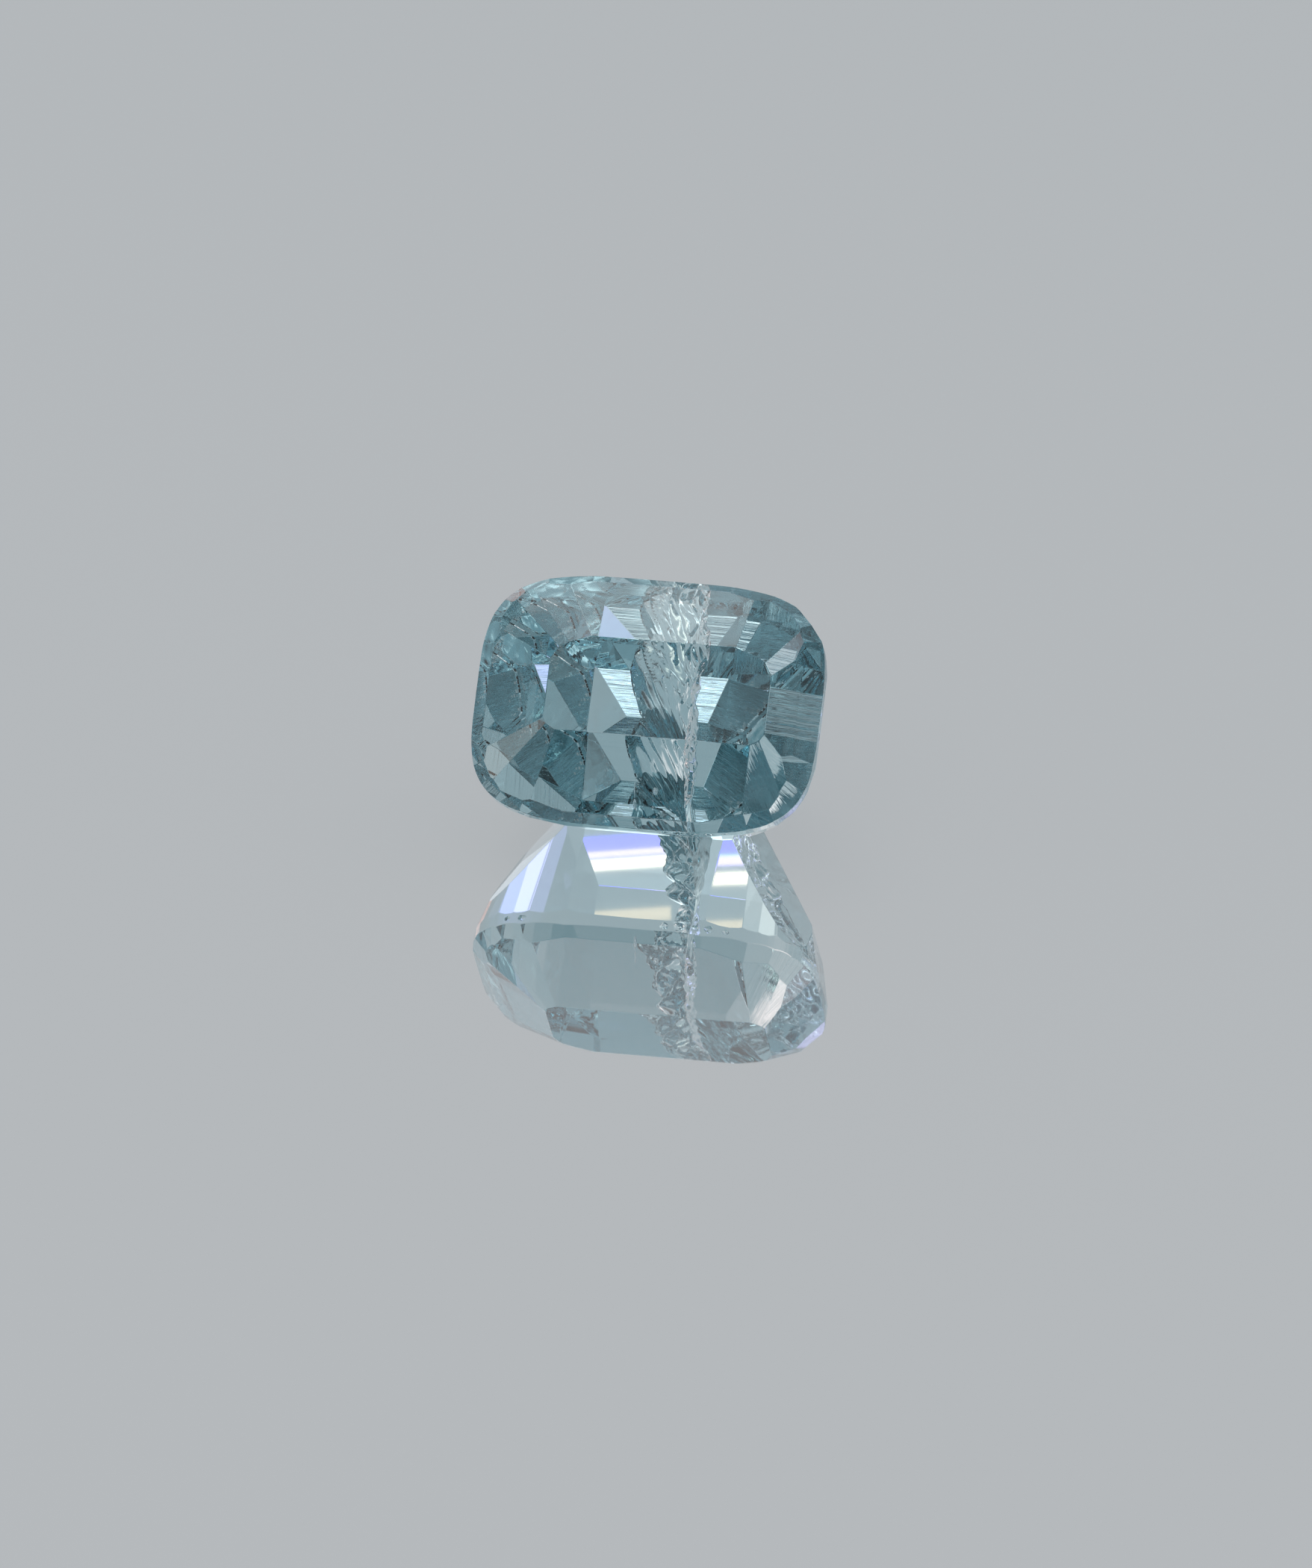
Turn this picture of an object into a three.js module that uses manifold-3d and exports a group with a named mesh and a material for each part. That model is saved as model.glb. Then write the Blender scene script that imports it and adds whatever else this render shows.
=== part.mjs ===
// Cushion step-cut tourmaline, loose, lying on one facet of its deep pavilion.
// One natural crystal, cut as a lapidary cuts it: a cushion-shaped preform is sliced by flat facets,
// tier after tier, and the finished stone is then laid down on the facet it rests on.
// Units: mm and degrees. Final frame: +Z up, floor at Z = 0, table tilted towards -Y.

import * as THREE from 'three';
import { mergeVertices } from 'three/addons/utils/BufferGeometryUtils.js';
import Module from 'manifold-3d';

const wasm = await Module();
wasm.setup();

// ---------------------------------------------------------------- driving dimensions

// Girdle: the widest outline of the stone.
const LENGTH = 7.0;
const WIDTH = 5.12;
const SQUARENESS = 3.78;          // exponent of the cushion curve: 2 is an ellipse, more is boxier
const GIRDLE_HEIGHT = 0.22;
const OUTLINE_STEPS = 96;

// Crown: a narrow steep tier at the girdle, one broad tier, and the table, cut a little off the middle.
// The narrow tier is higher at the ends than on the long sides, most of all at the right end.
const CROWN_HEIGHT = 1.09;
const CROWN_BREAK_SIDES = { height: 0.23, slope: 52.6 };
const CROWN_BREAK_RIGHT = { height: 0.50, slope: 53.0 };
const CROWN_BREAK_LEFT = { height: 0.28, slope: 45.2 };
const TABLE_LENGTH = 4.49;
const TABLE_WIDTH = 1.97;
const TABLE_TO_THE_RIGHT = 0.37;
const TABLE_TO_THE_BACK = 0.06;
const TABLE_FRONT_SQUARENESS = 10;
const TABLE_REAR_SQUARENESS = 4;  // its rear corners are cut rounder than the front ones

// Pavilion: two steep tiers, the tier that the stone rests on, and a shallow hipped roof at the keel.
const PAVILION_DEPTH = 4.81;      // girdle to keel
const UPPER_SIDE_SLOPE = 77.4;
const UPPER_END_SLOPE = 75.7;
const UPPER_RUN = 0.13;           // how far the upper tier comes in from the girdle
const MIDDLE_SIDE_SLOPE = 77.2;
const MIDDLE_END_SLOPE = 75.2;
const RESTING_SLOPE = 51.1;       // the broad front facet: it is the one that lies on the floor
const REAR_SLOPE = 61.5;
const LEFT_SLOPE = 57.0;
const RIGHT_SLOPE = 57.3;

// One more facet breaks the back between its steep tiers and the lower one.
const REAR_BREAK_SLOPE = 73.7;
const REAR_BREAK_TO_THE_BACK = 1.73;
const REAR_BREAK_HEIGHT = -3.40;

// Corners of the resting tier. The left rear one was never cut; outward is how far a facet stands
// off the corner of the keel's roof.
const RIGHT_REAR_CORNER = { azimuth: 42.1, slope: 68.2, outward: 0.05 };
const LEFT_FRONT_CORNER = { azimuth: 214, slope: 61.3, outward: -0.01 };
const RIGHT_FRONT_CORNER = { azimuth: 325.3, slope: 60.4, outward: 0.12 };

// Keel: it was cut a little behind the middle and is not quite centred along the stone either.
const KEEL_LEFT = -0.90;
const KEEL_RIGHT = 0.77;
const KEEL_BACK = 0.34;
const KEEL_FRONT_SLOPE = 38.8;
const KEEL_REAR_SLOPE = 31.5;
const KEEL_LEFT_SLOPE = 39.4;
const KEEL_RIGHT_SLOPE = 55.3;
const KEEL_FRONT_RUN = 0.72;      // keel to the break with the resting tier
const KEEL_REAR_RUN = 0.87;

// Facing directions of the facets round the stone: 0 is the right end, 90 the back, 270 the front.
const RIGHT = 0;
const REAR = 90;
const LEFT = 180;
const FRONT = 270;
// Many narrow facets follow the cushion curve at the girdle, and fewer, broader ones lie further in.
const GIRDLE_AZIMUTHS = aroundTheStone([12, 30, 48, 66, 82]);
const CROWN_AZIMUTHS = [...aroundTheStone([31.5, 60.7]), 70, 110];
const PAVILION_AZIMUTHS = aroundTheStone([21.3, 42.6, 73]);

// The four main directions, and the corner ones given for the first quarter repeated in each quarter.
function aroundTheStone(cornerAzimuths) {
  const corners = cornerAzimuths.flatMap(
    (azimuth) => [azimuth, 180 - azimuth, 180 + azimuth, 360 - azimuth],
  );
  return [RIGHT, REAR, LEFT, FRONT, ...corners];
}

// ---------------------------------------------------------------- the preform

const radians = THREE.MathUtils.degToRad;
const slopeRatio = (degrees) => Math.tan(radians(degrees));

// The girdle is a superellipse, the curve between an oval and a rectangle that a cushion stone has.
function cushionPoint(angle) {
  const stretch = (value, half) => half * Math.sign(value) * Math.abs(value) ** (2 / SQUARENESS);
  return new THREE.Vector2(
    stretch(Math.cos(angle), LENGTH / 2),
    stretch(Math.sin(angle), WIDTH / 2),
  );
}

// Distance from the middle to the line that touches a superellipse square to this azimuth.
function reachOf(length, width, squareness, azimuth) {
  const dual = squareness / (squareness - 1);
  const along = (length / 2) * Math.abs(Math.cos(radians(azimuth)));
  const across = (width / 2) * Math.abs(Math.sin(radians(azimuth)));
  return (along ** dual + across ** dual) ** (1 / dual);
}

const girdleReach = (azimuth) => reachOf(LENGTH, WIDTH, SQUARENESS, azimuth);

// The same for the table, measured from the stone's middle although the table is off it.
function tableReach(azimuth) {
  const atTheRear = azimuth > RIGHT && azimuth < LEFT;
  const squareness = atTheRear ? TABLE_REAR_SQUARENESS : TABLE_FRONT_SQUARENESS;
  const offset = TABLE_TO_THE_RIGHT * Math.cos(radians(azimuth))
    + TABLE_TO_THE_BACK * Math.sin(radians(azimuth));
  return offset + reachOf(TABLE_LENGTH, TABLE_WIDTH, squareness, azimuth);
}

// The rough, ground to a cushion-shaped block; its girdle's upper edge is at z = 0.
function preform() {
  const points = [];
  for (let step = 0; step < OUTLINE_STEPS; step += 1) {
    points.push(cushionPoint((2 * Math.PI * step) / OUTLINE_STEPS));
  }
  const bottom = -(GIRDLE_HEIGHT + PAVILION_DEPTH) - 0.5;
  const block = new THREE.ExtrudeGeometry(new THREE.Shape(points), {
    depth: CROWN_HEIGHT - bottom,
    bevelEnabled: false,
  });
  block.translate(0, 0, bottom);
  return block;
}

function solidFrom(geometry) {
  const bare = geometry.clone();
  bare.deleteAttribute('normal');
  bare.deleteAttribute('uv');
  const merged = mergeVertices(bare, 1e-5);
  return new wasm.Manifold(new wasm.Mesh({
    numProp: 3,
    vertProperties: new Float32Array(merged.attributes.position.array),
    triVerts: new Uint32Array(merged.index.array),
  }));
}

function geometryFrom(solid) {
  const mesh = solid.getMesh();
  const geometry = new THREE.BufferGeometry();
  geometry.setAttribute('position', new THREE.Float32BufferAttribute(mesh.vertProperties, 3));
  geometry.setIndex(Array.from(mesh.triVerts));
  geometry.computeVertexNormals();
  return geometry;
}

// ---------------------------------------------------------------- the facets

// Grinds away all that lies outside one plane. The plane faces out at the azimuth, leans by the
// slope from the girdle plane (up on the crown, down on the pavilion) and runs through the point.
function grind(stone, side, azimuth, slope, point) {
  const up = side === 'crown' ? 1 : -1;
  const normal = new THREE.Vector3(
    Math.sin(radians(slope)) * Math.cos(radians(azimuth)),
    Math.sin(radians(slope)) * Math.sin(radians(azimuth)),
    up * Math.cos(radians(slope)),
  );
  // trimByPlane keeps the side that its normal points to, so it is given the inward one.
  return stone.trimByPlane(normal.clone().negate().toArray(), -normal.dot(point));
}

// A point at a given distance from the stone's middle line, on one azimuth.
function pointAt(azimuth, reach, height) {
  return new THREE.Vector3(
    reach * Math.cos(radians(azimuth)),
    reach * Math.sin(radians(azimuth)),
    height,
  );
}

// The narrow tier's height and slope change smoothly from the long sides to the two ends.
function crownBreakAt(azimuth) {
  const lengthways = Math.cos(radians(azimuth));
  const end = lengthways > 0 ? CROWN_BREAK_RIGHT : CROWN_BREAK_LEFT;
  const share = lengthways ** 2;
  return {
    height: THREE.MathUtils.lerp(CROWN_BREAK_SIDES.height, end.height, share),
    slope: THREE.MathUtils.lerp(CROWN_BREAK_SIDES.slope, end.slope, share),
  };
}

// Each crown facet leans just as much as it takes to reach from the narrow tier to the table's edge.
function cutCrown(stone) {
  let cut = stone;
  for (const azimuth of GIRDLE_AZIMUTHS) {
    const girdleEdge = pointAt(azimuth, girdleReach(azimuth), 0);
    cut = grind(cut, 'crown', azimuth, crownBreakAt(azimuth).slope, girdleEdge);
  }
  for (const azimuth of CROWN_AZIMUTHS) {
    const { height, slope: breakSlope } = crownBreakAt(azimuth);
    const breakReach = girdleReach(azimuth) - height / slopeRatio(breakSlope);
    const run = breakReach - tableReach(azimuth);
    const slope = THREE.MathUtils.radToDeg(Math.atan2(CROWN_HEIGHT - height, run));
    cut = grind(cut, 'crown', azimuth, slope, pointAt(azimuth, tableReach(azimuth), CROWN_HEIGHT));
  }
  return cut;
}

// The long sides are cut steeper than the ends, and the corners lie between the two.
function blendedSlope(azimuth, sideSlope, endSlope) {
  const sideways = Math.abs(Math.sin(radians(azimuth)));
  return THREE.MathUtils.lerp(endSlope, sideSlope, sideways);
}

function cutSteepPavilion(stone) {
  let cut = stone;
  for (const azimuth of GIRDLE_AZIMUTHS) {
    const slope = blendedSlope(azimuth, UPPER_SIDE_SLOPE, UPPER_END_SLOPE);
    const girdleEdge = pointAt(azimuth, girdleReach(azimuth), -GIRDLE_HEIGHT);
    cut = grind(cut, 'pavilion', azimuth, slope, girdleEdge);
  }
  for (const azimuth of PAVILION_AZIMUTHS) {
    const upperSlope = blendedSlope(azimuth, UPPER_SIDE_SLOPE, UPPER_END_SLOPE);
    const middleSlope = blendedSlope(azimuth, MIDDLE_SIDE_SLOPE, MIDDLE_END_SLOPE);
    const breakHeight = -GIRDLE_HEIGHT - UPPER_RUN * slopeRatio(upperSlope);
    const breakEdge = pointAt(azimuth, girdleReach(azimuth) - UPPER_RUN, breakHeight);
    cut = grind(cut, 'pavilion', azimuth, middleSlope, breakEdge);
  }
  return cut;
}

// A corner facet runs past one corner of the keel's roof, moved outward by its own amount.
function cornerFacet({ azimuth, slope, outward }, x, y, height) {
  const step = pointAt(azimuth, outward, height);
  return [azimuth, slope, [x + step.x, y + step.y, height]];
}

// The hipped roof round the keel and, outside it, the tier that the stone rests on.
function cutKeelAndRestingTier(stone) {
  const keelHeight = -GIRDLE_HEIGHT - PAVILION_DEPTH;
  const frontHeight = keelHeight + KEEL_FRONT_RUN * slopeRatio(KEEL_FRONT_SLOPE);
  const rearHeight = keelHeight + KEEL_REAR_RUN * slopeRatio(KEEL_REAR_SLOPE);
  const frontEdge = KEEL_BACK - KEEL_FRONT_RUN;
  const rearEdge = KEEL_BACK + KEEL_REAR_RUN;
  const leftEdge = KEEL_LEFT - (frontHeight - keelHeight) / slopeRatio(KEEL_LEFT_SLOPE);
  const rightEdge = KEEL_RIGHT + (frontHeight - keelHeight) / slopeRatio(KEEL_RIGHT_SLOPE);
  const facets = [
    [FRONT, KEEL_FRONT_SLOPE, [0, KEEL_BACK, keelHeight]],
    [REAR, KEEL_REAR_SLOPE, [0, KEEL_BACK, keelHeight]],
    [LEFT, KEEL_LEFT_SLOPE, [KEEL_LEFT, KEEL_BACK, keelHeight]],
    [RIGHT, KEEL_RIGHT_SLOPE, [KEEL_RIGHT, KEEL_BACK, keelHeight]],
    [FRONT, RESTING_SLOPE, [0, frontEdge, frontHeight]],
    [REAR, REAR_SLOPE, [0, rearEdge, rearHeight]],
    [REAR, REAR_BREAK_SLOPE, [0, REAR_BREAK_TO_THE_BACK, REAR_BREAK_HEIGHT]],
    [LEFT, LEFT_SLOPE, [leftEdge, KEEL_BACK, frontHeight]],
    [RIGHT, RIGHT_SLOPE, [rightEdge, KEEL_BACK, frontHeight]],
    cornerFacet(RIGHT_REAR_CORNER, rightEdge, rearEdge, rearHeight),
    cornerFacet(LEFT_FRONT_CORNER, leftEdge, frontEdge, frontHeight),
    cornerFacet(RIGHT_FRONT_CORNER, rightEdge, frontEdge, frontHeight),
  ];
  return facets.reduce(
    (cut, [azimuth, slope, point]) => grind(cut, 'pavilion', azimuth, slope, new THREE.Vector3(...point)),
    stone,
  );
}

// ---------------------------------------------------------------- the stone, laid down

function layOnRestingFacet(mesh) {
  mesh.rotation.x = radians(RESTING_SLOPE);
  mesh.updateMatrixWorld(true);
  const box = new THREE.Box3().setFromObject(mesh, true);
  const middle = box.getCenter(new THREE.Vector3());
  mesh.position.set(-middle.x, -middle.y, -box.min.z);
}

const cutStone = [cutCrown, cutSteepPavilion, cutKeelAndRestingTier]
  .reduce((stone, cutTier) => cutTier(stone), solidFrom(preform()));

const tourmaline = new THREE.Mesh(
  geometryFrom(cutStone),
  new THREE.MeshStandardMaterial({ color: 0x6fa6a8, roughness: 0.03, metalness: 0 }),
);
tourmaline.name = 'cut_tourmaline';
layOnRestingFacet(tourmaline);

const group = new THREE.Group();
group.add(tourmaline);

export default group;
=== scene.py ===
# %% [markdown]
# # A cushion-cut tourmaline, lying loose
# The real thing is one blue-green crystal, seven millimetres long. A lapidary ground it to a cushion
# outline and then cut flat facets, tier after tier. It lies on one facet of its deep pavilion, on a
# pale surface that shines almost like a mirror. A silvery fracture crosses the crystal.
#
# The plan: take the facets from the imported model, soften their edges, nick the girdle, hang the
# fracture inside as a thin empty gap, and give the whole stone one clear, absorbing material.

import math

import bmesh
import bpy
from mathutils import Matrix, Vector, noise


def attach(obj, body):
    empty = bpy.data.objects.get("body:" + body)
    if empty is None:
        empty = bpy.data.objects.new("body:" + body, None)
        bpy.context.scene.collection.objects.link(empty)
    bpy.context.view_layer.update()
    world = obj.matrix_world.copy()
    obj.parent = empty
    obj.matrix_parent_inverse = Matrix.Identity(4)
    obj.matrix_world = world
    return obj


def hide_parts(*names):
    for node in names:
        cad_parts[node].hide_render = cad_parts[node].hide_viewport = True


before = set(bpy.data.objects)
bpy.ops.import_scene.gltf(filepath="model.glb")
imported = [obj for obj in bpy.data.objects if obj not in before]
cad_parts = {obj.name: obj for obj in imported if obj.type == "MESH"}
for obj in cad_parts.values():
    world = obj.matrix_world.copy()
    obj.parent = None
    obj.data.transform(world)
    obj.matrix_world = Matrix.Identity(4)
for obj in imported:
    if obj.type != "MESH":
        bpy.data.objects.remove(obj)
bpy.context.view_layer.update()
MM = 0.001

# %% [markdown]
# ## The camera
# A gem this small is taken from some way off with a long lens, so its edges stay nearly parallel. The
# camera stands a little to the right of the stone's front and looks down at 25 degrees. It could be
# placed by hand, but angles and a distance round one aim point are easier to read and to change.

# %% Place the camera
CAMERA_AZIMUTH = 11.6
CAMERA_ELEVATION = 24.913
CAMERA_ROLL = 0.247
CAMERA_DISTANCE = 508.02 * MM
AIM = Vector((-0.4319, 1.571, 0.0)) * MM


def direction_from(azimuth, elevation):
    """Unit vector from the stone towards a place given by azimuth (0 is the front) and elevation."""
    turn, lift = math.radians(azimuth), math.radians(elevation)
    return Vector((math.sin(turn) * math.cos(lift), -math.cos(turn) * math.cos(lift), math.sin(lift)))


camera_data = bpy.data.cameras.new("gem_camera")
camera_data.sensor_width = 36.0
camera_data.lens = 580.4
camera_data.clip_start = 0.005
camera_data.clip_end = 20.0
camera = bpy.data.objects.new("gem_camera", camera_data)
bpy.context.scene.collection.objects.link(camera)

towards_camera = direction_from(CAMERA_AZIMUTH, CAMERA_ELEVATION)
camera.location = AIM + towards_camera * CAMERA_DISTANCE
facing = (-towards_camera).to_track_quat("-Z", "Y").to_matrix()
roll = Matrix.Rotation(math.radians(-CAMERA_ROLL), 3, "Z")
camera.rotation_euler = (facing @ roll).to_euler()
bpy.context.scene.camera = camera

print("camera at, in mm:", [round(v / MM, 1) for v in camera.location])

# %% [markdown]
# ## The stone's own directions
# A cutter names a facet by its azimuth round the stone and its slope from the girdle, with the table
# up. This stone has been tipped over onto its front pavilion facet, so every normal is first turned
# back by that facet's slope. The names then read as a cutter says them.

# %% Read a facet as its cutter would
RESTING_SLOPE = 51.1
TIPPED = Matrix.Rotation(math.radians(RESTING_SLOPE), 3, "X")
UPRIGHT = TIPPED.inverted()


def cutters_angles(normal):
    """(azimuth, slope) of a facet: azimuth 0 is the right end, 90 the back; slope 0 is the table,
    90 the girdle, and more than 90 the pavilion."""
    upright = UPRIGHT @ normal
    azimuth = math.degrees(math.atan2(upright.y, upright.x)) % 360
    slope = math.degrees(math.acos(max(-1.0, min(1.0, upright.z))))
    return azimuth, slope


table_normal = TIPPED @ Vector((0, 0, 1))
print("table faces:", [round(v, 3) for v in table_normal], cutters_angles(table_normal))

# %% [markdown]
# ## Facets with softened edges
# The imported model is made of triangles. A cut stone has whole facets, so triangles that lie in one
# plane are joined first. No real edge is perfectly sharp: a polished tourmaline's is rounded by about
# a hundredth of a millimetre, and that thin edge is what glints. A bevel modifier would do it too;
# doing it in bmesh keeps the result in plain mesh form for the steps after it.

# %% Join triangles into facets and bevel the edges
EDGE_ROUNDING = 0.010 * MM
SAME_FACET = math.radians(0.3)
SHARP_EDGE = math.radians(1.0)


def whole_facets(node):
    form = bmesh.new()
    form.from_mesh(node.data)
    bmesh.ops.remove_doubles(form, verts=form.verts, dist=1e-8)
    bmesh.ops.dissolve_limit(form, angle_limit=SAME_FACET, verts=form.verts, edges=form.edges)
    return form


def soften_edges(form):
    sharp = [edge for edge in form.edges if edge.calc_face_angle(0.0) > SHARP_EDGE]
    bmesh.ops.bevel(form, geom=sharp, offset=EDGE_ROUNDING, segments=2, profile=0.5, affect="EDGES")


stone_form = whole_facets(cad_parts["cut_tourmaline"])
print("facets:", len(stone_form.faces))

soften_edges(stone_form)
stone_mesh = bpy.data.meshes.new("tourmaline")
stone_form.to_mesh(stone_mesh)
stone_form.free()
stone = bpy.data.objects.new("tourmaline", stone_mesh)
bpy.context.scene.collection.objects.link(stone)
print("faces with rounded edges:", len(stone_mesh.polygons))

# %% [markdown]
# ## Nicks in the girdle
# The girdle is the stone's rim. A loose stone that has rubbed against others carries tiny chips there,
# hollow like a shell. Each one is bitten out by a small lumpy ball, because glassy crystal breaks that
# way. A bump in the material would not change the rim's outline, so real cuts are made.

# %% Bite small chips out of the rim
CHIPS = [  # place along X, then how deep and how wide the chip is, all in millimetres
    (0.62, 0.045, 0.16),
    (0.93, 0.060, 0.22),
    (1.24, 0.040, 0.14),
    (1.52, 0.050, 0.18),
    (1.86, 0.035, 0.12),
    (-2.30, 0.040, 0.16),
    (-2.62, 0.030, 0.12),
]
GIRDLE_SLOPE = 90.0
NEARLY = 1.5
LUMPS_PER_RADIUS = 1.7
LUMP_HEIGHT = 0.22
CHIP_STRETCH = 1.3


def rim_point(mesh, along):
    """The middle of the girdle at this X on the stone's front side, and the way out from there."""
    girdle = []
    for face in mesh.polygons:
        azimuth, slope = cutters_angles(face.normal)
        if azimuth > 180 and abs(slope - GIRDLE_SLOPE) < NEARLY:
            girdle.append(face)
    nearest = min(girdle, key=lambda face: abs(face.center.x - along * MM))
    outward = nearest.normal.copy()
    tangent = outward.cross(table_normal)
    place = nearest.center + tangent * ((along * MM - nearest.center.x) / tangent.x)
    return place, outward


def chip_cutter(place, outward, depth, width, seed):
    ball = bmesh.new()
    bmesh.ops.create_icosphere(ball, subdivisions=3, radius=1.0)
    for vert in ball.verts:
        lump = noise.noise(vert.co * LUMPS_PER_RADIUS + Vector((seed, 0, 0)))
        vert.co *= 1.0 + LUMP_HEIGHT * lump
    radius = 0.5 * width * MM
    centre = place + outward * (radius - depth * MM)
    bmesh.ops.scale(ball, vec=(radius * CHIP_STRETCH, radius, radius), verts=ball.verts)
    bmesh.ops.translate(ball, vec=centre, verts=ball.verts)
    mesh = bpy.data.meshes.new("chip_cutter")
    ball.to_mesh(mesh)
    ball.free()
    return bpy.data.objects.new("chip_cutter", mesh)


for seed, (along, depth, width) in enumerate(CHIPS):
    place, outward = rim_point(stone.data, along)
    cutter = chip_cutter(place, outward, depth, width, seed)
    bpy.context.scene.collection.objects.link(cutter)
    bite = stone.modifiers.new("bite", "BOOLEAN")
    bite.operation = "DIFFERENCE"
    bite.solver = "EXACT"
    bite.object = cutter
    bpy.context.view_layer.objects.active = stone
    bpy.ops.object.modifier_apply(modifier=bite.name)
    bpy.data.objects.remove(cutter)

print("chips:", len(CHIPS), "faces now:", len(stone.data.polygons))

# %% [markdown]
# ## The fracture
# Tourmaline often breaks across its length, and the break does not fall apart: it stays inside as a
# hair-thin empty gap. Light that meets the gap at a low angle can't get out of the crystal and is
# thrown back, so the gap looks like crumpled silver. It could be faked with a bright sheet, but a
# real gap, two crinkled walls with nothing between them, does the same thing as in the crystal and
# works from every side. The walls belong to the stone's own mesh and face into the gap.
#
# First its middle surface. It sweeps across the stone from the upper right to the lower left, and
# ridge upon finer ridge sits on that sweep, as on broken glass. All lengths here are in millimetres.

# %% Shape the middle surface of the fracture
RIDGE_LEAN = math.radians(35)
RIDGES = [  # ridges per millimetre, and their height
    (0.7, 0.060),
    (2.0, 0.115),
    (4.5, 0.048),
    (9.0, 0.010),
]
RIDGE_STRETCH = 0.45
SMOOTH_BELOW = 1.3
ROUGH_ABOVE = 2.2
CALMEST = 0.17


def sweep_x(y, z):
    return 0.96 - 0.34 * y - 0.27 * z - 0.07 * y * y + 0.05 * z * z


def roughness_at(z):
    """The break is calm near the resting facet and crumpled higher up."""
    share = min(1.0, max(0.0, (z - SMOOTH_BELOW) / (ROUGH_ABOVE - SMOOTH_BELOW)))
    return CALMEST + (1.0 - CALMEST) * share * share * (3.0 - 2.0 * share)


def crinkle(y, z):
    """How far the fracture stands off its sweep: sharp crests with smooth shells between them."""
    along = y * math.cos(RIDGE_LEAN) + z * math.sin(RIDGE_LEAN)
    across = z * math.cos(RIDGE_LEAN) - y * math.sin(RIDGE_LEAN)
    height = 0.0
    for fineness, weight in RIDGES:
        place = Vector((along * fineness * RIDGE_STRETCH, across * fineness, fineness))
        height += weight * (1.0 - 3.0 * abs(noise.noise(place)))
    return height * roughness_at(z)


def fracture_point(y, z):
    return Vector((sweep_x(y, z) + crinkle(y, z), y, z))


print("fracture crosses the middle at", [round(v, 2) for v in fracture_point(0, 2.5)])

# %% [markdown]
# The gap must stop just short of the stone's skin. The stone is convex, so a point is inside it when
# it is behind every facet's plane, and the way out from the middle can be found by halving.

# %% Find how far the fracture reaches
FRACTURE_MARGIN = 0.04
FRACTURE_CENTRE = (-0.3, 2.4)
FRACTURE_SPOKES = 240
FRACTURE_RINGS = 64
BEYOND_THE_SKIN = 6.0


def facet_planes(node):
    """Every facet as its outward normal and its distance from the origin."""
    form = whole_facets(node)
    planes = [(face.normal.copy(), face.normal.dot(face.verts[0].co) / MM) for face in form.faces]
    form.free()
    return planes


planes = facet_planes(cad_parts["cut_tourmaline"])


def depth_inside(point):
    return min(offset - normal.dot(point) for normal, offset in planes)


def spoke_point(angle, distance):
    y, z = FRACTURE_CENTRE
    return fracture_point(y + distance * math.cos(angle), z + distance * math.sin(angle))


def reach_towards(angle):
    inside, outside = 0.0, BEYOND_THE_SKIN
    while outside - inside > 0.001:
        halfway = (inside + outside) / 2
        if depth_inside(spoke_point(angle, halfway)) > FRACTURE_MARGIN:
            inside = halfway
        else:
            outside = halfway
    return inside


spoke_angles = [2 * math.pi * spoke / FRACTURE_SPOKES for spoke in range(FRACTURE_SPOKES)]
spoke_reaches = [reach_towards(angle) for angle in spoke_angles]
print("fracture reaches out", round(min(spoke_reaches), 2), "to", round(max(spoke_reaches), 2), "mm")

# %% [markdown]
# Now the two walls. Rings of points run from the middle to the edge, where the walls meet.

# %% Give the gap its two walls
GAP_WIDTH = 0.012


def wall_ring(share, side):
    """One ring of a wall; share is 0 in the middle and 1 at the edge, side is 1 or -1."""
    half_gap = 0.5 * GAP_WIDTH * (1.0 - share ** 4)
    ring = []
    for angle, reach in zip(spoke_angles, spoke_reaches):
        ring.append(spoke_point(angle, share * reach) + Vector((side * half_gap, 0, 0)))
    return ring


def fracture_gap():
    form = bmesh.new()
    rim = [form.verts.new(point * MM) for point in wall_ring(1.0, 1)]
    for side in (1, -1):
        centre = form.verts.new((spoke_point(0, 0) + Vector((side * GAP_WIDTH / 2, 0, 0))) * MM)
        inner = None
        for ring in range(1, FRACTURE_RINGS + 1):
            if ring < FRACTURE_RINGS:
                outer = [form.verts.new(point * MM) for point in wall_ring(ring / FRACTURE_RINGS, side)]
            else:
                outer = rim
            for here in range(FRACTURE_SPOKES):
                there = (here + 1) % FRACTURE_SPOKES
                corners = [outer[here], outer[there]]
                corners += [inner[there], inner[here]] if inner else [centre]
                form.faces.new(corners if side == -1 else corners[::-1])
            inner = outer
    mesh = bpy.data.meshes.new("fracture_gap")
    form.to_mesh(mesh)
    form.free()
    return mesh


gap_mesh = fracture_gap()
print("fracture faces:", len(gap_mesh.polygons))

# %% [markdown]
# ## A pinpoint, a needle and a drop
# Close to the front of the crown the crystal holds a bright pinpoint, and beside it a fine needle with
# a drop under it. They are empty too: places that stayed open while the crystal grew. Bright specks
# could be painted on, but a void catches light from all round, as the fracture does. Each is a small
# ball, drawn out between its two ends, and its faces look inwards. Lengths are in millimetres again.

# %% Make the small voids
SMALL_VOIDS = [  # one end, the other end, and the radius in the middle
    ((0.43, -2.550, 1.92), (0.43, -2.560, 1.76), 0.055),
    ((-0.005, -2.436, 1.97), (0.002, -2.485, 1.64), 0.014),
    ((0.003, -2.488, 1.62), (0.008, -2.520, 1.40), 0.035),
]


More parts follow.
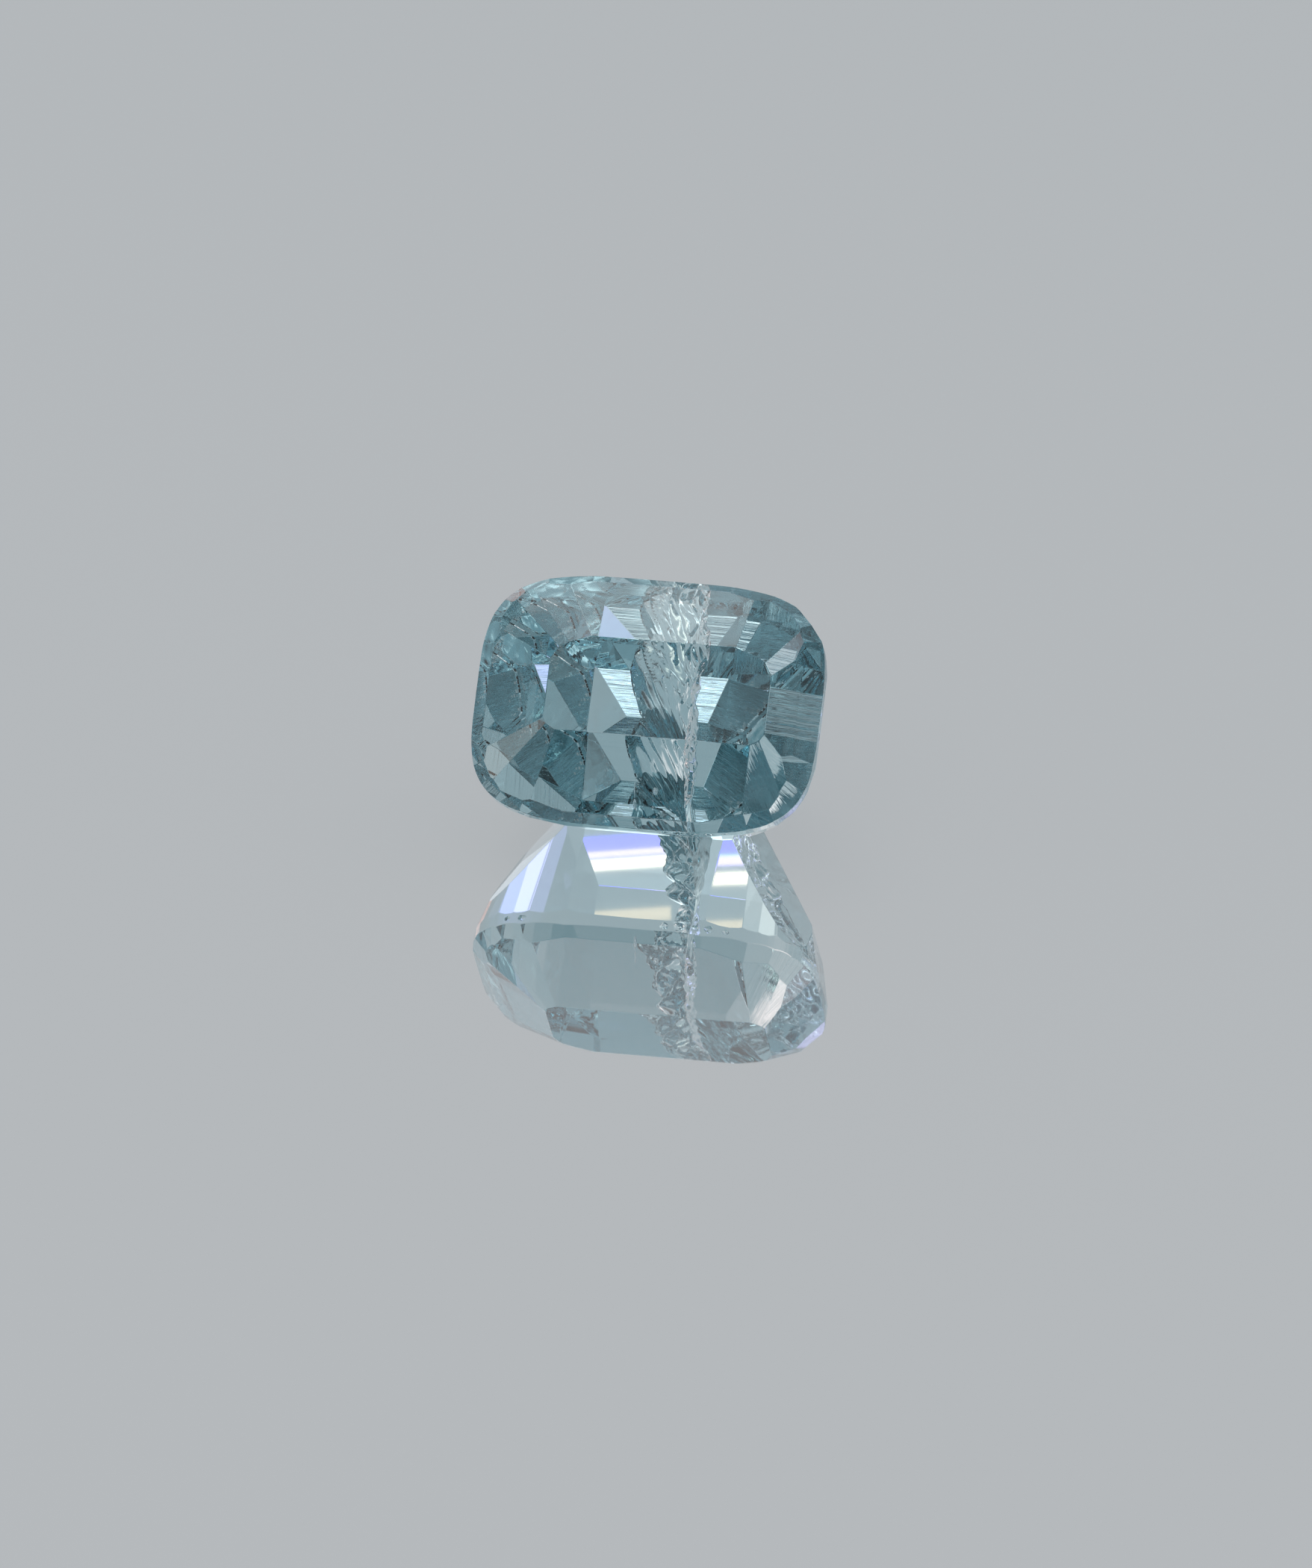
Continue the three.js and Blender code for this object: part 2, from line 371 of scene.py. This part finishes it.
def small_void(start, end, radius):
    start, end = Vector(start), Vector(end)
    axis = end - start
    form = bmesh.new()
    bmesh.ops.create_icosphere(form, subdivisions=2, radius=1.0)
    bmesh.ops.scale(form, vec=(radius, radius, axis.length / 2), verts=form.verts)
    turn = axis.to_track_quat("Z", "Y").to_matrix()
    bmesh.ops.rotate(form, matrix=turn, verts=form.verts)
    bmesh.ops.translate(form, vec=(start + end) / 2, verts=form.verts)
    bmesh.ops.scale(form, vec=(MM, MM, MM), verts=form.verts)
    bmesh.ops.reverse_faces(form, faces=form.faces)
    mesh = bpy.data.meshes.new("small_void")
    form.to_mesh(mesh)
    form.free()
    return mesh


void_meshes = [small_void(*ends_and_radius) for ends_and_radius in SMALL_VOIDS]
print("small voids:", len(void_meshes), "faces each:", len(void_meshes[0].polygons))

# %% [markdown]
# ## One mesh for the whole stone
# The gap and the small voids join the stone's own mesh. Were they objects of their own, a renderer would
# not know that the light leaves the crystal there.

# %% Join the voids to the stone
def join_voids(body, voids):
    form = bmesh.new()
    form.from_mesh(body.data)
    outer_faces = len(form.faces)
    for void in voids:
        form.from_mesh(void)
    form.to_mesh(body.data)
    form.free()
    return outer_faces


outer_faces = join_voids(stone, [gap_mesh, *void_meshes])
print("outer faces:", outer_faces, "all faces:", len(stone.data.polygons))

# %% [markdown]
# The facets, the girdle and the fracture were not finished alike, and on a few facets one still sees
# the fine parallel lines that the polishing lap left. Each kind could have a material of its own, but
# they are one crystal, so every face carries marks instead, and the one material reads them.

# %% Mark the faces for the material
BROKEN_MARK = "fracture"
GIRDLE_MARK = "girdle"
POLISH_MARK = "polish_lines"
LEVEL_LAP_SLOPE = 140
LINED_FACETS = [  # slopes and azimuths, each from and to, in degrees; how plainly the lines show
    (LEVEL_LAP_SLOPE, 180, 60, 120, 1.0),
    (25, 95, 295, 345, 0.5),
]


def polish_strength(azimuth, slope):
    """How plainly the lap's parallel lines show on a facet, from 0 to 1."""
    for shallowest, steepest, first, last, strength in LINED_FACETS:
        if shallowest < slope < steepest and first < azimuth < last:
            return strength
    return 0.0


def mark_faces(mesh):
    broken = mesh.attributes.new(BROKEN_MARK, "FLOAT", "FACE")
    girdle = mesh.attributes.new(GIRDLE_MARK, "FLOAT", "FACE")
    polish = mesh.attributes.new(POLISH_MARK, "FLOAT", "FACE")
    for face in mesh.polygons:
        azimuth, slope = cutters_angles(face.normal)
        inside = face.index >= outer_faces
        broken.data[face.index].value = 1.0 if inside else 0.0
        ground = not inside and abs(slope - GIRDLE_SLOPE) < NEARLY
        girdle.data[face.index].value = 1.0 if ground else 0.0
        polish.data[face.index].value = 0.0 if inside else polish_strength(azimuth, slope)
        face.use_smooth = inside


mark_faces(stone.data)
lined = sum(1 for mark in stone.data.attributes[POLISH_MARK].data if mark.value > 0.0)
print("faces that show the lap's lines:", lined)

# %% [markdown]
# The lines all run one way on a facet, so the material also needs to know which way that is. A flat
# UV map in millimetres tells it, turned on each facet the way the lap ran. Object coordinates would
# need no map, but their axes do not lie in the facets.

# %% Lay a map along the lap's lines
LAP_MAP = "lap_direction"
TOO_LEVEL = 0.1


def lay_lap_map(mesh):
    """u runs along the lap's lines and v across them, both in millimetres.

    On most facets the lap ran from the girdle to the tip; beside the keel it ran level.
    """
    lap = mesh.uv_layers.new(name=LAP_MAP)
    axis = table_normal
    for face in mesh.polygons:
        across = axis.cross(face.normal)
        if across.length < TOO_LEVEL:
            across = Vector((0, 1, 0)).cross(face.normal)
        across.normalize()
        along = face.normal.cross(across)
        if cutters_angles(face.normal)[1] > LEVEL_LAP_SLOPE:
            along, across = across, along
        for corner in face.loop_indices:
            place = mesh.vertices[mesh.loops[corner].vertex_index].co
            lap.data[corner].uv = (place.dot(along) / MM, place.dot(across) / MM)


lay_lap_map(stone.data)
print("UV maps:", [layer.name for layer in stone.data.uv_layers])

# %% [markdown]
# ## Uneven polish, a group of nodes
# No polished surface shines the same all over. The stone and the sheet it lies on both need a
# roughness that drifts a little, so this is one node group with its own inputs, used by both.

# %% Build the uneven polish group
def uneven_polish_group():
    group = bpy.data.node_groups.new("uneven_polish", "ShaderNodeTree")
    sockets = group.interface
    blotches = sockets.new_socket("Blotches per metre", in_out="INPUT", socket_type="NodeSocketFloat")
    blotches.default_value = 800.0
    smoothest = sockets.new_socket("Smoothest", in_out="INPUT", socket_type="NodeSocketFloat")
    smoothest.default_value = 0.0
    roughest = sockets.new_socket("Roughest", in_out="INPUT", socket_type="NodeSocketFloat")
    roughest.default_value = 0.05
    sockets.new_socket("Roughness", in_out="OUTPUT", socket_type="NodeSocketFloat")

    nodes, links = group.nodes, group.links
    entry = nodes.new("NodeGroupInput")
    leave = nodes.new("NodeGroupOutput")
    place = nodes.new("ShaderNodeTexCoord")
    cloud = nodes.new("ShaderNodeTexNoise")
    cloud.inputs["Detail"].default_value = 4.0
    spread = nodes.new("ShaderNodeMapRange")
    spread.inputs["From Min"].default_value = 0.35
    spread.inputs["From Max"].default_value = 0.70
    links.new(place.outputs["Object"], cloud.inputs["Vector"])
    links.new(entry.outputs["Blotches per metre"], cloud.inputs["Scale"])
    links.new(cloud.outputs["Fac"], spread.inputs["Value"])
    links.new(entry.outputs["Smoothest"], spread.inputs["To Min"])
    links.new(entry.outputs["Roughest"], spread.inputs["To Max"])
    links.new(spread.outputs["Result"], leave.inputs["Roughness"])
    return group


uneven_polish = uneven_polish_group()
print("group:", uneven_polish.name, [item.name for item in uneven_polish.interface.items_tree])


def add_uneven_polish(nodes, blotches, smoothest, roughest):
    node = nodes.new("ShaderNodeGroup")
    node.node_tree = uneven_polish
    node.inputs["Blotches per metre"].default_value = blotches
    node.inputs["Smoothest"].default_value = smoothest
    node.inputs["Roughest"].default_value = roughest
    return node


# %% [markdown]
# ## Clear blue-green crystal
# The colour of a tourmaline is not on its surface. White light goes in and loses its red on the way,
# so thick parts are deep teal and thin parts nearly colourless. A tinted glass shader would colour
# each crossing of the surface instead. Here the surface is plain clear glass with the crystal's
# index, and the volume behind it absorbs.
#
# Two small helpers come first. They add a node that reads one of the marks, and a node that does sums.

# %% Helpers for the crystal's nodes
def link_mark(tree, name):
    node = tree.nodes.new("ShaderNodeAttribute")
    node.attribute_type = "GEOMETRY"
    node.attribute_name = name
    return node.outputs["Fac"]


def arithmetic(tree, operation, first, second):
    node = tree.nodes.new("ShaderNodeMath")
    node.operation = operation
    for socket, value in zip(node.inputs, (first, second)):
        if isinstance(value, (int, float)):
            socket.default_value = value
        else:
            tree.links.new(value, socket)
    return node.outputs["Value"]


print("helpers:", link_mark.__name__, arithmetic.__name__)

# %% [markdown]
# The facets are polished, the girdle is only ground, and the fracture is slightly dull, so the marks
# raise the roughness. The lap's lines are noise, stretched far along u and packed tightly across it.
# They are far too fine to model as a mesh, so they go into the normal by way of a bump.

# %% Make the crystal's material
CRYSTAL_INDEX = 1.63
ABSORBED_TINT = (0.55, 0.80, 0.85, 1.0)
ABSORPTION_PER_METRE = 235.0
GROUND_ROUGHNESS = 0.08
BROKEN_ROUGHNESS = 0.04
LINES_ALONG, LINES_ACROSS = 0.35, 10.0
LINE_HEIGHT = 0.03 * MM


def crystal_material():
    material = bpy.data.materials.new("tourmaline_crystal")
    material.use_nodes = True
    tree = material.node_tree
    nodes, links = tree.nodes, tree.links
    surface = nodes["Principled BSDF"]
    surface.inputs["Base Color"].default_value = (1.0, 1.0, 1.0, 1.0)
    surface.inputs["Transmission Weight"].default_value = 1.0
    surface.inputs["IOR"].default_value = CRYSTAL_INDEX

    girdle = link_mark(tree, GIRDLE_MARK)
    broken = link_mark(tree, BROKEN_MARK)
    lines = link_mark(tree, POLISH_MARK)

    polish = add_uneven_polish(nodes, 900.0, 0.0, 0.012).outputs["Roughness"]
    ground = arithmetic(tree, "MULTIPLY", girdle, GROUND_ROUGHNESS)
    dull = arithmetic(tree, "MULTIPLY", broken, BROKEN_ROUGHNESS)
    roughness = arithmetic(tree, "ADD", arithmetic(tree, "ADD", polish, ground), dull)
    links.new(roughness, surface.inputs["Roughness"])

    lap = nodes.new("ShaderNodeUVMap")
    lap.uv_map = LAP_MAP
    stretch = nodes.new("ShaderNodeMapping")
    stretch.inputs["Scale"].default_value = (LINES_ALONG, LINES_ACROSS, 1.0)
    streaks = nodes.new("ShaderNodeTexNoise")
    streaks.inputs["Scale"].default_value = 1.0
    streaks.inputs["Detail"].default_value = 3.0
    streaks.inputs["Roughness"].default_value = 0.65
    links.new(lap.outputs["UV"], stretch.inputs["Vector"])
    links.new(stretch.outputs["Vector"], streaks.inputs["Vector"])
    relief = arithmetic(tree, "MULTIPLY", streaks.outputs["Fac"], lines)
    bump = nodes.new("ShaderNodeBump")
    bump.inputs["Strength"].default_value = 0.6
    bump.inputs["Distance"].default_value = LINE_HEIGHT
    links.new(relief, bump.inputs["Height"])
    links.new(bump.outputs["Normal"], surface.inputs["Normal"])

    body = nodes.new("ShaderNodeVolumeAbsorption")
    body.inputs["Color"].default_value = ABSORBED_TINT
    body.inputs["Density"].default_value = ABSORPTION_PER_METRE
    links.new(body.outputs["Volume"], nodes["Material Output"].inputs["Volume"])
    return material


crystal = crystal_material()
stone.data.materials.clear()
stone.data.materials.append(crystal)
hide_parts("cut_tourmaline")
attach(stone, "root")
print("material:", crystal.name, "index", CRYSTAL_INDEX)

# %% [markdown]
# ## The surface that the stone lies on
# It is a pale, glossy sheet that throws back most of the light, so the stone's underside shows in
# it. A clean mirror would show nothing of itself and paper would show nothing of the stone, so the
# sheet is mostly metallic with a little plain white left, and its shine is soft and not quite even.

# %% Lay the glossy sheet
SHEET_HALF = 1.5
SHEET_DROP = 0.002 * MM
SHEET_METALLIC = 0.86


def glossy_sheet():
    mesh = bpy.data.meshes.new("glossy_sheet")
    corners = [(-1, -1), (1, -1), (1, 1), (-1, 1)]
    places = [(x * SHEET_HALF, y * SHEET_HALF, -SHEET_DROP) for x, y in corners]
    mesh.from_pydata(places, [], [(0, 1, 2, 3)])
    sheet = bpy.data.objects.new("glossy_sheet", mesh)
    bpy.context.scene.collection.objects.link(sheet)
    material = bpy.data.materials.new("glossy_sheet")
    material.use_nodes = True
    surface = material.node_tree.nodes["Principled BSDF"]
    surface.inputs["Base Color"].default_value = (1.0, 1.0, 1.0, 1.0)
    surface.inputs["Metallic"].default_value = SHEET_METALLIC
    surface.inputs["Specular IOR Level"].default_value = 0.0
    polish = add_uneven_polish(material.node_tree.nodes, 60.0, 0.012, 0.020)
    material.node_tree.links.new(polish.outputs["Roughness"], surface.inputs["Roughness"])
    mesh.materials.append(material)
    return sheet


sheet = glossy_sheet()
print("sheet is", 2 * SHEET_HALF, "m wide")

# %% [markdown]
# ## Soft studio light
# A cut stone shows its surroundings far more than its own shape, so the light is planned as things to
# be mirrored in it: a pale room, soft boxes that are brighter than the room, and dark flags that take
# light away. Each is a round patch of the sky with a soft edge. Area lamps could do the same, but each
# would need a place, a size and a distance; a patch of the sky needs a direction and a width.

# %% Make one soft patch a group of nodes
def soft_patch_group():
    """A mask that is 1 towards one direction and fades to nothing round it."""
    group = bpy.data.node_groups.new("soft_patch", "ShaderNodeTree")
    sockets = group.interface
    sockets.new_socket("Towards", in_out="INPUT", socket_type="NodeSocketVector")
    sockets.new_socket("Tightness", in_out="INPUT", socket_type="NodeSocketFloat")
    sockets.new_socket("Mask", in_out="OUTPUT", socket_type="NodeSocketFloat")

    nodes, links = group.nodes, group.links
    entry = nodes.new("NodeGroupInput")
    leave = nodes.new("NodeGroupOutput")
    place = nodes.new("ShaderNodeTexCoord")
    likeness = nodes.new("ShaderNodeVectorMath")
    likeness.operation = "DOT_PRODUCT"
    links.new(place.outputs["Generated"], likeness.inputs[0])
    links.new(entry.outputs["Towards"], likeness.inputs[1])
    ahead = arithmetic(group, "MAXIMUM", likeness.outputs["Value"], 0.0)
    mask = arithmetic(group, "POWER", ahead, entry.outputs["Tightness"])
    links.new(mask, leave.inputs["Mask"])
    return group


soft_patch = soft_patch_group()
print("group:", soft_patch.name, [item.name for item in soft_patch.interface.items_tree])

# %% [markdown]
# The boxes and flags follow. Most boxes hang high behind the stone, small warm ones stand low on both
# sides, and the viewer's side is kept dark, because a viewer and a camera are dark too.

# %% Light the room
ROOM_GREY = (0.456, 0.479, 0.497, 1.0)
SOFT_BOXES = [  # azimuth, elevation, half width in degrees; red, green and blue added in the middle
    (192, 52, 9, 0.12, 0.12, 0.14),
    (196, 48.5, 1.5, 1.60, 1.80, 2.05),
    (154, 44, 7, 0.39, 0.38, 0.79),
    (216, 14, 7, 1.42, 0.89, 0.79),
    (340, 38, 7, 1.60, 1.15, 1.05),
    (296, 8, 7, 1.59, 1.24, 1.00),
    (110, 44, 7, 2.00, 1.70, 1.80),
    (210, 58, 7, 1.80, 1.85, 1.80),
    (225, 58, 11, 1.00, 0.82, 0.80),
    (162, 44, 5, 0.75, 0.60, 1.10),
    (216, 38, 4, 0.60, 0.50, 0.45),
]
DARK_FLAGS = [  # azimuth, elevation, half width in degrees; share of red, green and blue that is left
    (0, 2, 23, 0.02, 0.02, 0.02),
    (250, 38, 7, 0.02, 0.02, 0.02),
    (56, 2, 26, 0.06, 0.16, 0.17),
    (24, 50, 7, 0.12, 0.02, 0.02),
    (184, 2, 11, 0.20, 0.45, 0.50),
    (112, 26, 11, 0.02, 0.02, 0.02),
]


def tightness(half_width):
    """The power that makes a patch fade to half its strength at this many degrees."""
    return math.log(0.5) / math.log(math.cos(math.radians(half_width)))


def add_patch(tree, before, blend, azimuth, elevation, half_width, colour):
    patch = tree.nodes.new("ShaderNodeGroup")
    patch.node_tree = soft_patch
    patch.inputs["Towards"].default_value = direction_from(azimuth, elevation)
    patch.inputs["Tightness"].default_value = tightness(half_width)
    mix = tree.nodes.new("ShaderNodeMix")
    mix.data_type = "RGBA"
    mix.blend_type = blend
    factor, first, second = mix.inputs[0], mix.inputs[6], mix.inputs[7]
    tree.links.new(patch.outputs["Mask"], factor)
    tree.links.new(before, first)
    second.default_value = (*colour, 1.0)
    return mix.outputs[2]


def pale_room():
    world = bpy.data.worlds.new("pale_room")
    bpy.context.scene.world = world
    world.use_nodes = True
    tree = world.node_tree
    room = tree.nodes.new("ShaderNodeRGB")
    room.outputs["Color"].default_value = ROOM_GREY
    light = room.outputs["Color"]
    for azimuth, elevation, half_width, *colour in SOFT_BOXES:
        light = add_patch(tree, light, "ADD", azimuth, elevation, half_width, colour)
    for azimuth, elevation, half_width, *colour in DARK_FLAGS:
        light = add_patch(tree, light, "MULTIPLY", azimuth, elevation, half_width, colour)
    tree.links.new(light, tree.nodes["Background"].inputs["Color"])


pale_room()
print("soft boxes:", len(SOFT_BOXES), "dark flags:", len(DARK_FLAGS))

# %% [markdown]
# The steep tiers at the front and the rear are nearly parallel, so one looks straight through the
# stone there, as through a window. Narrow strip lamps behind it show in that window as bright bands.
# A real crystal spreads the colours of a lamp a little apart. The renderer bends all colours alike,
# so the blue, the green and the lilac edge of a lamp are strips of their own, side by side.

# %% Hang the strip lamps behind the stone
STRIP_AZIMUTH = 195.1
STRIP_ELEVATION = 45.3
STRIP_DISTANCE = 100.0
STRIPS = [  # middle along the strip and across it, length and height, in mm; red, green and blue
    (0.40, 0.34, 2.7, 0.40, 0.10, 0.00, 1.90),
    (0.40, 0.44, 2.7, 0.16, 0.00, 1.00, 0.30),
    (0.40, 0.60, 2.7, 0.20, 1.40, 0.85, 1.70),
    (0.30, 0.91, 2.5, 0.30, 2.10, 1.45, 1.05),
    (-0.24, -1.50, 2.15, 0.36, 0.95, 0.55, 0.28),
    (7.60, -1.50, 3.0, 0.36, 0.10, 0.00, 1.90),
    (7.60, -1.36, 3.0, 0.16, 0.00, 1.00, 0.30),
    (7.60, -1.16, 3.0, 0.26, 1.40, 0.85, 1.70),
    (7.60, -0.68, 3.0, 0.34, 2.10, 1.45, 1.05),
    (7.05, -3.34, 2.6, 0.26, 0.95, 0.55, 0.28),
]


def strip_lamp(number, along, across, length, height, colour):
    towards = direction_from(STRIP_AZIMUTH, STRIP_ELEVATION)
    facing_stone = towards.to_track_quat("Z", "Y")
    data = bpy.data.lights.new(f"strip_{number}", "AREA")
    data.shape = "RECTANGLE"
    data.size, data.size_y = length * MM, height * MM
    data.energy = math.pi * data.size * data.size_y
    data.color = colour
    lamp = bpy.data.objects.new(f"strip_{number}", data)
    offset = Vector((along, across, STRIP_DISTANCE)) * MM
    lamp.location = facing_stone @ offset
    lamp.rotation_euler = facing_stone.to_euler()
    bpy.context.scene.collection.objects.link(lamp)
    return lamp


for number, (along, across, length, height, *colour) in enumerate(STRIPS):
    strip_lamp(number, along, across, length, height, colour)
first_strip = bpy.data.objects["strip_0"].location
print("strips:", len(STRIPS), "first at, in mm:", [round(v / MM, 1) for v in first_strip])

# %% [markdown]
# ## How far light is followed
# Light bounces many times inside a deep stone before it gets out. If it is followed for only a few
# bounces, the facets go black. The plain view transform keeps the greys as they are set.

# %% Set the bounces and the view transform
scene = bpy.context.scene
scene.cycles.max_bounces = 24
scene.cycles.transmission_bounces = 24
scene.cycles.glossy_bounces = 8
scene.cycles.sample_clamp_indirect = 10.0
scene.view_settings.view_transform = "Standard"
print("bounces:", scene.cycles.max_bounces)

# %% [markdown]
# ## The end
# At the end the view layer is brought up to date once more.

# %% Bring the view layer up to date
bpy.context.view_layer.update()
